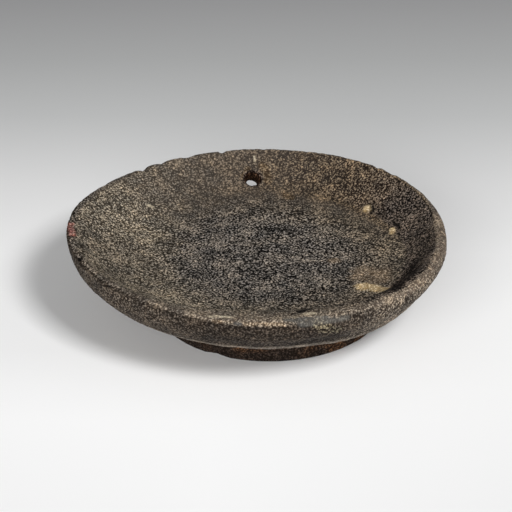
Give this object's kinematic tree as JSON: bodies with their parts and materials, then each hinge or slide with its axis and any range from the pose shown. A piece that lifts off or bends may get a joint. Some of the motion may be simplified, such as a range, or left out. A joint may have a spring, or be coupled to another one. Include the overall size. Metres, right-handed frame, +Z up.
{
  "type": "stone bowl",
  "caption": "Shallow round bowl carved from solid basalt, with a rounded rim, a disc foot and a suspension hole through its back wall.",
  "frame": {"origin": "on the ground, under the middle of the bowl's box", "axes": "+Z up out of the bowl, the drilled wall towards +Y"},
  "size_m": [0.179, 0.1802, 0.0413],
  "materials": {
    "basalt": "pecked and worn vesicular basalt, dark grey inside, browner at the rim and rusty at the foot"
  },
  "bodies": {
    "root": {"stone_bowl": "basalt"}
  },
  "joints": []
}
